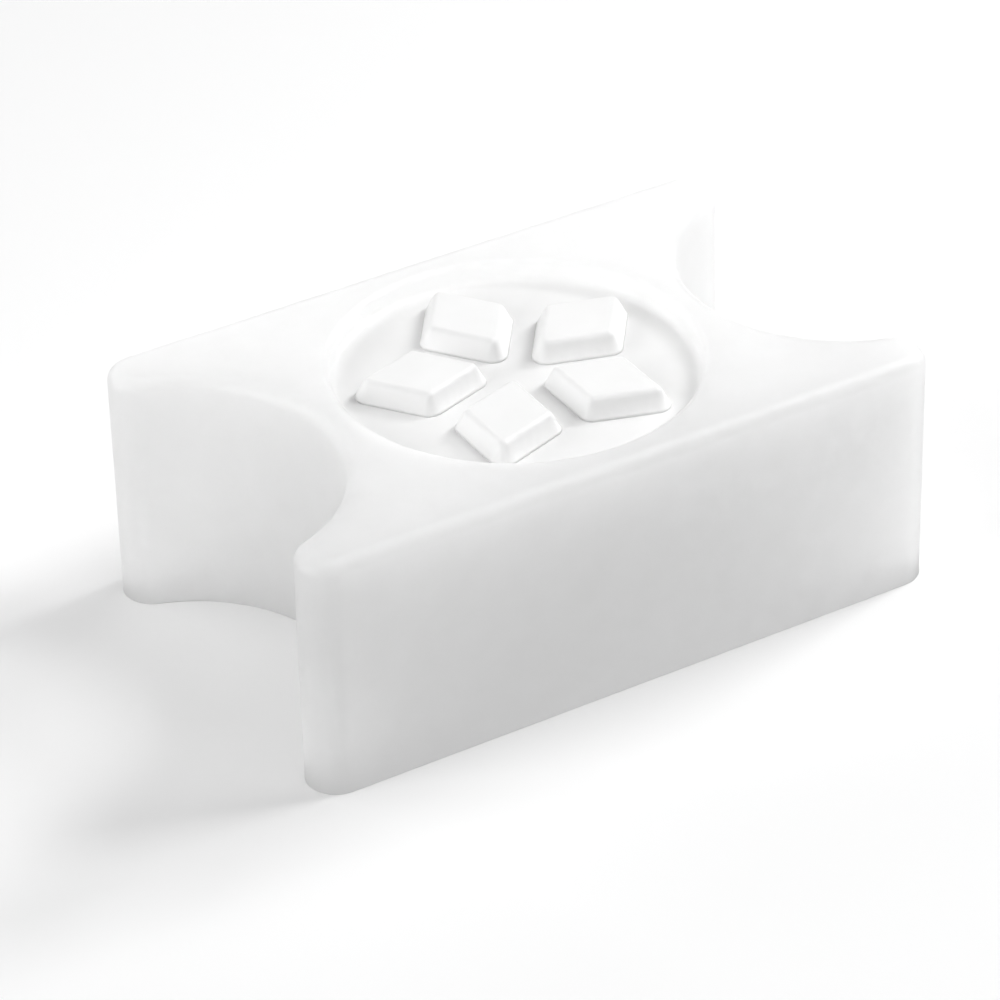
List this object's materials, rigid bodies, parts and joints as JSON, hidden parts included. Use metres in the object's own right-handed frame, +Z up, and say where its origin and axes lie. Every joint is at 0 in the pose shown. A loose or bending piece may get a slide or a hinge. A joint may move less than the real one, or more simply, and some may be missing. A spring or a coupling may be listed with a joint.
{
  "type": "gymnastics chalk block",
  "caption": "Pressed chalk block with a scooped hollow in each end, a rounded top edge, and a round recess on top that holds a plain raised star.",
  "frame": {"origin": "middle of the flat base that the block stands on", "axes": "+X along the block from one scooped end to the other, +Y across its width, +Z up"},
  "size_m": [0.08, 0.05, 0.03],
  "materials": {
    "pressed_chalk": "matte"
  },
  "bodies": {
    "root": {"pressed_block": "pressed_chalk", "star_pad_1": "pressed_chalk", "star_pad_2": "pressed_chalk", "star_pad_3": "pressed_chalk", "star_pad_4": "pressed_chalk", "star_pad_5": "pressed_chalk"}
  },
  "joints": []
}
